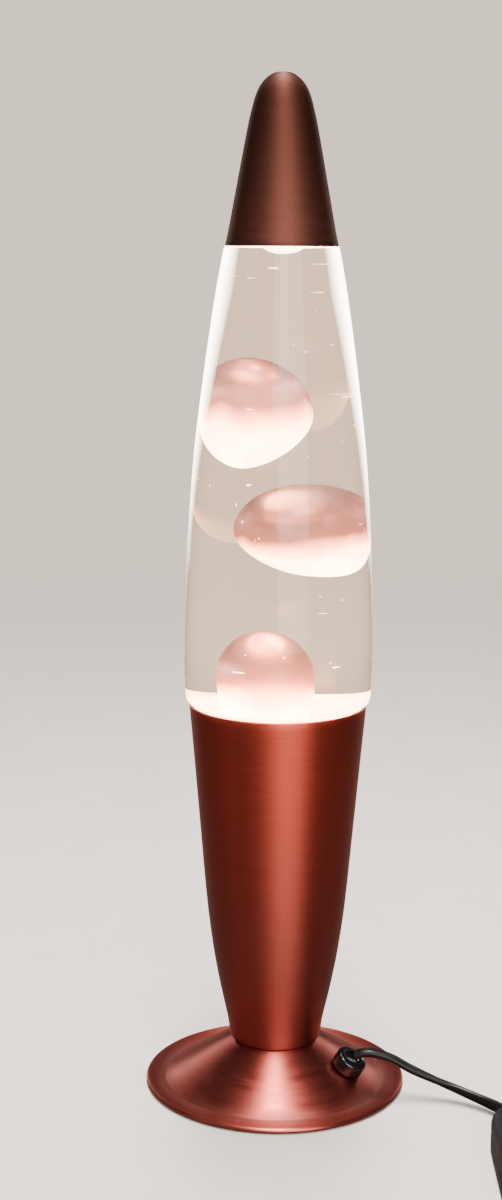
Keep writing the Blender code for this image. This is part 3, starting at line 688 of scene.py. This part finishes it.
def make_cords(paints):
    lamp_side = spline(LAMP_TO_SWITCH, 8)
    twist = [(0.0, 0.0), (0.3, 8.0), (0.72, 72.0), (0.85, 60.0), (1.0, 0.0)]
    flex, length = sweep("flex_lamp_side", lamp_side, twist, paints["cord"])
    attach(flex, "base")
    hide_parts("cord_lamp_side")

    plug_side = spline(SWITCH_TO_COIL, 8) + spline(coil_turns(), 1) + spline(COIL_TO_PLUG, 8)
    plug_side = spline(plug_side[::2] + [plug_side[-1]], 2)
    twist = [(0.0, 0.0), (0.07, 90.0), (0.94, 90.0), (0.985, 0.0), (1.0, 0.0)]
    flex, length = sweep("flex_plug_side", plug_side, twist, paints["cord"])
    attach(flex, "base")
    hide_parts("cord_plug_side", "cord_coil", "cord_tail")


# ---------------- bushing, switch, tie and plug

def cone_frame():
    """The point on the foot's cone where the cord leaves, and the cone's normal there."""
    fall = (FOOT_TOP[1] - FOOT_CREASE[1]) / (FOOT_CREASE[0] - FOOT_TOP[0])
    height = FOOT_TOP[1] - (BUSHING_DISTANCE - FOOT_TOP[0]) * fall
    outwards = Vector((math.cos(BUSHING_ANGLE), math.sin(BUSHING_ANGLE), 0.0))
    upwards = Vector((0.0, 0.0, 1.0))
    return outwards * BUSHING_DISTANCE + upwards * height, (outwards * fall + upwards).normalized()


def make_bushing(paints):
    point, normal = cone_frame()
    profile = [(0.0, -3.8), (3.6, -3.8)] + arc((4.4, -2.4), 0.6, -40, 90, 4) + [(4.2, -1.4), (4.2, 0.25)]
    profile += [(6.0, 0.25)] + arc((6.0, 0.95), 0.7, -90, 0, 5) + arc((5.3, 4.9), 1.4, 0, 75, 7)
    profile += arc((4.2, 6.2), 0.35, 60, 180, 4) + [(3.5, 5.6), (3.0, 5.3), (0.0, 5.3)]
    bushing = tip_onto(lathe("bushing", profile, [paints["gloss"]], 72, sharp=60), point, normal)
    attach(bushing, "base")
    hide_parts("strain_relief_bushing")


def switch_half(name, sections, paints):
    """A stack of rounded outlines; each section is (inset, height)."""
    x, y = SWITCH_CENTRE
    loops = []
    for inset, height in sections:
        outline = rounded_outline(SWITCH_HALF[0] - inset, SWITCH_HALF[1] - inset, 11.0 - inset, 12)
        loops.append([(x + across, y + along, height) for across, along in outline])
    return lofted(name, loops, [paints["plastic"]], 45)


def make_switch(paints):
    x, y = SWITCH_CENTRE
    split = SWITCH_SPLIT
    edge, shoulder, crown, rise = 1.6, 12.0, 5.0, 6.0
    bottom_sections = [(edge - edge * math.sin(angle), edge - edge * math.cos(angle))
                       for angle in map(math.radians, (0, 20, 40, 60, 80, 90))]
    bottom_sections += [(0.0, split - 0.7), (0.35, split - 0.2)]
    top_sections = [(0.35, split + 0.1), (0.0, split + 0.5), (0.0, shoulder)]
    top_sections += [(crown - crown * math.cos(angle), shoulder + rise * math.sin(angle))
                     for angle in map(math.radians, (15, 30, 45, 60, 75, 88))]
    bottom = switch_half("switch_lower_shell", bottom_sections, paints)
    top = switch_half("switch_upper_shell", top_sections, paints)

    def cutter(size, at, corner):
        outline = rounded_outline(size[0] / 2, size[1] / 2, corner, 4)
        loops = [[(at[0] + across, at[1] + along, at[2] + height) for across, along in outline]
                 for height in (-size[2] / 2, size[2] / 2)]
        return lofted("cutter", loops, [paints["plastic"]])

    def drill(radius, side, low, high):
        """A round cutter on one of the two screws' axes."""
        profile = [(0.0, low), (radius, low), (radius, high), (0.0, high)]
        made = lathe("drill", profile, [paints["plastic"]], 24)
        spot = Vector((x + SWITCH_SCREW[0] * side, y + SWITCH_SCREW[1] * side, 0.0))
        made.data.transform(Matrix.Translation(spot * MM))
        return made

    cut(bottom, cutter((21.0, 40.0, 8.2), (x, y, 5.9), 2.0))
    cut(top, cutter((21.0, 40.0, 8.0), (x, y, 11.4), 2.0),
        cutter((11.0, 19.0, 9.0), (x, y, 17.0), 1.2))
    for side in (-1, 1):
        cut(bottom, drill(1.6, side, -1.0, 10.0), drill(3.1, side, -1.0, 2.6))
        cut(top, drill(1.6, side, 8.0, 13.4))
    for piece, node in ((bottom, "switch_housing_bottom"), (top, "switch_housing_top")):
        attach(piece, "base")
        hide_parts(node)

    side_view = [(-8.6, 16.4), (-8.5, 18.3), (-8.1, 18.65), (-4.0, 17.5), (0.0, 17.05),
                 (4.0, 17.5), (8.1, 18.65), (8.5, 18.3), (8.6, 16.4), (5.6, 12.6), (2.6, 10.4),
                 (-2.6, 10.4), (-5.6, 12.6)]
    pivot, turn = 14.6, math.radians(7.0)
    outline = [(a * math.cos(turn) - (h - pivot) * math.sin(turn),
                pivot + a * math.sin(turn) + (h - pivot) * math.cos(turn)) for a, h in side_view]
    loops = []
    for side, inset in ((-5.0, 0.4), (-4.7, 0.0), (4.7, 0.0), (5.0, 0.4)):
        loops.append([(x + side, y + a * (1 - inset / 9), pivot + (h - pivot) * (1 - inset / 4))
                      for a, h in outline])
    rocker = lofted("rocker_key", loops, [paints["rocker"]], 35)
    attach(rocker, "rocker")
    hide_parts("switch_rocker")
    return [bottom, top, rocker]


def make_plug(paints):
    x = COIL_CENTRE[0]
    stations = [(0.0, 5.9, 4.2), (0.6, 6.6, 4.8), (4.0, 7.6, 5.2), (9.0, 9.6, 5.7),
                (16.0, 12.4, 6.2), (24.0, 15.2, 6.6), (31.0, 17.0, 6.8), (34.6, 17.3, 6.8),
                (35.6, 16.9, 6.4), (36.0, 16.2, 5.8)]
    loops = []
    for back, half_width, half_thick in spline(stations, 3):
        outline = rounded_outline(half_width, half_thick, min(3.8, half_thick - 0.4), 6)
        loops.append([(x + across, PLUG_REAR - back, PLUG_Z + up) for across, up in outline])
    body = lofted("plug_moulding", loops, [paints["plastic"]], 45)
    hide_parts("plug_body")
    pieces = [body]
    tip = [(0.0, 9.9), (1.9, 9.9), (2.0, 10.1), (2.0, 17.0)] + arc((1.2, 17.9), 0.8, 0, 80, 5)
    tip += [(0.0, 18.9)]
    cover = [(0.0, 0.0), (2.0, 0.0), (1.95, 9.6), (1.8, 9.75), (0.0, 9.75)]
    for number, side in ((1, -1), (2, 1)):
        point = (x + 9.3 * side, PLUG_FRONT - 0.3, PLUG_Z)
        metal = lathe(f"plug_pin_tip_{number}", tip, [paints["nickel"]], 40)
        sleeve = lathe(f"plug_pin_sleeve_{number}", cover, [paints["plastic"]], 40)
        for piece, slot in ((metal, "nickel_plate"), (sleeve, "black_plastic")):
            tip_onto(piece, point, (0, -1, 0))
            pieces.append(piece)
        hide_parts(f"plug_pin_{number}")
    relief = [(0.0, 0.0), (4.3, 0.0)]
    for ring in range(5):
        start, outer = 1.4 + 3.1 * ring, 4.3 - 0.22 * ring
        relief += [(outer, start), (outer - 0.15, start + 0.3), (outer - 0.9, start + 0.4),
                   (outer - 0.95, start + 1.2), (outer - 0.3, start + 1.35)]
    relief += [(3.3, 17.2), (3.0, 17.6), (0.0, 17.6)]
    boot = lathe("plug_boot", relief, [paints["plastic"]], 48)
    tip_onto(boot, (x, PLUG_REAR + 0.3, PLUG_Z), (0, 1, 0))
    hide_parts("plug_strain_relief")
    pieces.append(boot)
    for piece in pieces:
        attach(piece, "base")
    return pieces


# ---------------- metalwork

def make_foot(paints):
    top_r = FOOT_TOP[0]
    outer = [(CENTRE_HOLE, 20.0), (top_r - 1.6, 20.0)] + arc((top_r - 1.3, 18.8), 1.2, 88, 60, 4)
    outer += spline([(21.0, 18.4), (33.0, 11.02), (43.6, 4.5), (45.4, 3.4), (46.4, 2.85),
                     (47.6, 2.48), (53.2, 2.4)], 6)
    bead = arc((BRIM_RADIUS - 1.1, 1.4), 1.1, 70, -190, 14)
    under = [(50.0, 1.3), (47.2, 1.4), (45.4, 2.3), (33.0, 9.95), (18.6, 18.7), (17.4, 19.0),
             (CENTRE_HOLE, 19.0)]
    foot = lathe("foot_cone", outer + bead + under, [paints["foot_metal"]], ROUND_SIDES)
    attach(foot, "base")
    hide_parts("foot_shell")


def make_body(paints):
    side = spline(BODY_OUTLINE, 8)
    corner = arc((17.6, BODY_FLOOR + 1.6), 1.6, -90, -12, 8)
    rim_r, rim_z = BODY_OUTLINE[-1]
    rim = arc((rim_r - SHEET / 2, rim_z - 0.05), SHEET / 2, 0, 180, 6)
    inner = [(radius - SHEET, height) for radius, height in reversed(side[:-1])]
    profile = [(CENTRE_HOLE, BODY_FLOOR)] + corner + side[3:-1] + rim + inner
    profile.append((CENTRE_HOLE, BODY_FLOOR + SHEET))
    body = lathe("body_shell", profile, [paints["body_metal"]], ROUND_SIDES)
    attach(body, "base")
    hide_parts("base_body")


def make_cap(paints):
    edge_r, edge_z = CAP_EDGE
    lip = arc((edge_r - SHEET / 2, edge_z + SHEET / 2), SHEET / 2, 180, 355, 6)
    cone = spline([(edge_r - 0.09, edge_z + 1.0), (21.2, 360.0), (19.35, 370.0), (17.5, 380.0),
                   (15.65, 390.0), (13.7, 400.0), (12.55, 405.0), (11.2, 410.0), (9.5, 414.0),
                   (7.1, 417.1), (3.8, 419.35), (0.0, CAP_TIP)], 6)
    inside = spline([(0.0, CAP_TIP - 1.1), (3.6, 418.1), (6.5, 416.0), (8.6, 413.3),
                     (10.2, 409.8), (11.6, 404.8), (12.7, 399.8), (14.65, 390.0), (18.35, 370.0),
                     (edge_r - SHEET, edge_z + 0.6)], 5)
    cap = lathe("cap_cone", lip[1:] + cone[1:] + inside[:-1], [paints["cap_metal"]], ROUND_SIDES)
    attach(cap, "cap")
    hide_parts("cap")


# ---------------- bottle, liquid and wax

def bottle_lines():
    """Outer and inner outlines of the glass, from the middle of its floor up to its lip."""
    outer = [(0.0, 128.8), (12.0, 128.7), (22.0, 128.3), (26.0, 128.0), (29.0, 128.0),
             (31.0, 129.2), (31.8, 132.0), (32.6, 140.0), (34.2, 158.0), (34.7, 164.6),
             (35.4, 165.9), (36.9, 166.25), (38.1, 168.2), (38.8, 175.0), (39.05, 185.0),
             (38.6, 205.0), (37.3, 237.0), (34.9, 270.0), (31.3, 300.0), (27.0, 330.0),
             (23.3, 350.6), (22.6, 351.6), (20.6, 351.95), (18.6, 353.4), (14.6, 362.0),
             (13.0, 367.0), (12.9, 372.0)]
    lip = [(13.0, 378.4)] + arc((12.5, 379.3), 0.7, 0, 90, 4) + arc((10.9, 379.5), 0.5, 90, 180, 3)
    inner = [(10.4, 374.0), (10.4, 366.0), (12.2, 360.4), (16.6, 350.5), (20.8, 340.0), (24.6, 322.0),
             (28.8, 300.0), (32.4, 270.0), (34.8, 237.0), (36.1, 205.0), (36.5, 185.0), (35.6, 170.0),
             (32.4, 160.0), (30.2, 140.0), (29.6, 133.6), (27.6, 131.1), (22.0, 130.9), (0.0, 130.9)]
    return spline(outer, 6), lip, spline(inner, 6)


def make_bottle(paints):
    """The bottle, and the liquid in it as a body of its own a hair inside the glass. Where it is
    wet, the glass doesn't bend light, because the liquid bends it nearly as much."""
    outer, lip, inner = bottle_lines()
    profile = outer + lip + inner
    first_inner = len(outer) + len(lip) - 1

    def wet(index):
        return int(index >= first_inner and profile[index][1] < LIQUID_TOP + 0.2)

    bottle = lathe("glass_bottle", profile, [paints["glass"], paints["glass_wet"]], ROUND_SIDES,
                   slot_of=wet, sharp=60)
    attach(bottle, "bottle")
    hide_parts("bottle")

    wall = [(radius - 0.03, height) for radius, height in reversed(inner)
            if height <= LIQUID_TOP and radius > 0]
    neck = wall[-1][0]
    surface = [(neck, LIQUID_TOP + 0.6), (neck - 1.2, LIQUID_TOP + 0.1), (neck - 3.0, LIQUID_TOP),
               (0.0, LIQUID_TOP)]
    line = [(0.0, WAX_FLOOR - 0.25)] + wall + surface
    first_top = len(line) - len(surface)

    def on_top(index):
        return int(first_top <= index < len(line) - 1)

    liquid = lathe("liquid_fill", line, [paints["liquid"], paints["liquid_top"]], 96,
                   slot_of=on_top, sharp=60)
    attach(liquid, "bottle")


def wavy(piece, centre, size, amount, seed):
    """Push a piece's points in and out with smooth noise, for the uneven skin of moving wax."""
    offset = Vector((seed * 7.3, seed * 3.1, seed * 5.7))
    middle = Vector(centre) * MM
    for vertex in piece.data.vertices:
        away = vertex.co - middle
        push = noise.noise(vertex.co / (size * MM) + offset) * amount * MM
        vertex.co += away.normalized() * push


def drop(name, centre, radius, low, high, finish, seed, taper=1.0, shear=0.0):
    """A wax drop about a centre, low and high being its lower and upper half-heights. taper
    narrows its lower half, and shear carries its lowest point sideways."""
    profile = []
    steps = 48
    for step in range(steps + 1):
        angle = math.pi * step / steps - math.pi / 2
        reach, power = (high, 1.0) if angle > 0 else (low, taper)
        across = radius * math.cos(angle) ** power if 0 < step < steps else 0.0
        profile.append((across, reach * math.sin(angle)))
    piece = lathe(name, profile, [finish], 96, sharp=180)
    for vertex in piece.data.vertices:
        depth = max(0.0, -vertex.co.z / (low * MM))
        vertex.co.x += shear * MM * depth * depth
    piece.data.transform(Matrix.Translation(Vector(centre) * MM))
    wavy(piece, centre, size=22.0, amount=1.3, seed=seed)
    return piece


def make_pool():
    """The pool fills the bottle's lower end, round the wire coil that lies in it, and a dome
    rises from it to one side on a slight neck."""
    wall = [(0.1, WAX_FLOOR), (18.4, WAX_FLOOR), (18.4, 138.2), (25.6, 138.2), (25.6, WAX_FLOOR),
            (27.4, WAX_FLOOR)]
    glass_wall = [spot for spot in reversed(bottle_lines()[2]) if 133.0 < spot[1] < 168.0]
    wall += [(radius - 0.15, height) for radius, height in glass_wall]
    wall += [(wall[-1][0] - 0.25, 167.6), (wall[-1][0] - 0.9, 166.8),
             (wall[-1][0] - 1.8, POOL_TOP)]
    rings = [(0.0, radius, height) for radius, height in wall]
    shore = wall[-1][0]
    aside, foot_of_dome, wide, tall, middle = -3.5, 12.4, 14.4, 20.2, 177.6
    for share in (0.12, 0.3, 0.5, 0.68, 0.82, 0.92):
        rings.append((aside * share, shore + (foot_of_dome - shore) * share, POOL_TOP + share ** 9))
    for step in range(26):
        angle = math.radians(-34 + (89 + 34) * step / 25)
        rings.append((aside, wide * math.cos(angle), middle + tall * math.sin(angle)))
    turns = np.linspace(0, FULL_TURN, 97)[:-1]
    loops = [[(shift + radius * math.cos(turn), radius * math.sin(turn), height)
              for turn in turns] for shift, radius, height in rings]
    paint = pearly_wax_with_painted_light("wax_pool", 0.158, 0.198, white_to=0.30, highlight_at=0.62, depth=1.4,
                       dim_at=0.128)
    pool = lofted("wax_pool_body", loops, [paint], 60)
    # the dome's skin is uneven too, from a little above the pool
    calm_to = 0.172
    for vertex in pool.data.vertices:
        if vertex.co.z > calm_to:
            away = (vertex.co - Vector((aside, 0.0, middle)) * MM).normalized()
            amount = 1.2 * MM * min(1.0, (vertex.co.z - calm_to) / 0.008)
            vertex.co += away * noise.noise(vertex.co * 45.0) * amount
    return pool


def make_wax():
    # one wax in three copies; each drop's own white_to, highlight_at and depth paint its light and shade
    upper = pearly_wax_with_painted_light("wax_upper", 0.2633, 0.3079, white_to=0.46, highlight_at=0.72, depth=1.4)
    middle = pearly_wax_with_painted_light("wax_middle", 0.2201, 0.2571, white_to=0.37, highlight_at=0.70, depth=0.5)
    top = pearly_wax_with_painted_light("wax_top", 0.3478, 0.3648, white_to=0.6, highlight_at=0.8)
    drops = [drop("wax_drop_upper", (-8.4, 0.0, 285.6), 17.1, low=21.6, high=22.0, finish=upper,
                  seed=1, taper=1.2, shear=-2.5),
             drop("wax_drop_middle", (7.4, 0.0, 239.4), 21.3, low=18.8, high=17.4, finish=middle,
                  seed=2, taper=0.9, shear=8.0),
             drop("wax_drop_top", (1.1, 0.0, 356.3), 8.4, low=8.2, high=8.0, finish=top, seed=3)]
    pieces = list(zip(drops, ("wax_upper", "wax_middle", "wax_top"),
                      ("wax_blob_upper", "wax_blob_middle", "wax_blob_top")))
    pieces.append((make_pool(), "bottle", "wax_pool"))
    for piece, ride_on, node in pieces:
        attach(piece, ride_on)
        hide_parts(node)


def make_bubbles(paints):
    """Small bubbles that cling to the inside of the glass, some of them smeared along it."""
    shape = bmesh.new()
    rng = np.random.default_rng(5)
    radii, heights = zip(*reversed(bottle_lines()[2]))
    for _ in range(BUBBLES):
        height = rng.uniform(175.0, 345.0)
        angle = rng.uniform(0, FULL_TURN)
        size = rng.uniform(0.2, 0.55)
        reach = float(np.interp(height, heights, radii)) - size - 0.25
        spot = Vector((reach * math.cos(angle), reach * math.sin(angle), height)) * MM
        if rng.random() < 0.3:
            smear = Matrix.Diagonal((1.0, rng.uniform(3.0, 6.0), 0.7, 1.0))
        else:
            smear = Matrix()
        place = Matrix.Translation(spot) @ Matrix.Rotation(angle, 4, "Z") @ smear
        bmesh.ops.create_icosphere(shape, subdivisions=2, radius=size * MM, matrix=place)
    bubbles = new_object("liquid_bubbles", shape, [paints["bubble"]], 180)
    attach(bubbles, "bottle")


def make_crown(paints):
    flutes = 21

    def crimp(radius, height, angle):
        if radius > 13.0:
            depth = max(0.0, min(1.0, (380.6 - height) / 4.0))
            radius += 0.35 * depth * math.cos(flutes * angle)
        return radius, height

    profile = [(0.0, 382.5), (11.8, 382.5)] + arc((12.2, 380.9), 1.6, 90, 10, 6)
    profile += [(14.2, 378.0), (14.35, 375.2), (13.95, 375.0), (13.8, 378.0), (13.5, 380.7),
                (12.4, 381.8), (0.0, 381.8)]
    crown = lathe("crown_cap", profile, [paints["tin"]], 252, crimp)
    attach(crown, "bottle")
    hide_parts("bottle_crown")


# ---------------- CAD nodes that stay

def paint_nodes(paints):
    """Give every CAD node that still shows its own finish."""
    finishes = {
        "felt": ["felt_ring"],
        "iron": ["ballast_ring"],
        "zinc": ["base_cover", "threaded_nipple", "nipple_nut_lower", "nipple_nut_upper",
                 "nipple_washer_lower", "nipple_washer_upper", "cover_screw_1", "cover_screw_2",
                 "cover_screw_3", "switch_screw_1", "switch_screw_2"],
        "bakelite": ["holder_cap", "holder_body"],
        "brass": ["holder_screw_shell", "holder_centre_contact", "holder_terminal_screw_1",
                  "holder_terminal_screw_2", "bulb_screw_shell", "bulb_contact_tip", "switch_contact_1",
                  "switch_contact_2"],
        "brown": ["lead_brown"],
        "blue": ["lead_blue"],
        "cord": ["inner_cord"],
        "plastic": ["bulb_insulator", "cord_tie"],
        "wire": ["wire_coil", "bulb_filament"],
        "bulb": ["bulb_glass"],
        "glass": ["bulb_stem"],
        "liner": ["crown_liner"],
    }
    for paint, nodes in finishes.items():
        for name in nodes:
            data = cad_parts[name].data
            data.materials.clear()
            data.materials.append(paints[paint])


def build():
    paints = make_materials()
    make_camera()
    switch_pieces = make_switch(paints)
    plug_pieces = make_plug(paints)
    make_cords(paints)
    make_bushing(paints)
    make_foot(paints)
    make_body(paints)
    make_cap(paints)
    make_bottle(paints)
    make_wax()
    make_bubbles(paints)
    make_crown(paints)
    paint_nodes(paints)
    make_floor()
    make_studio()


build()
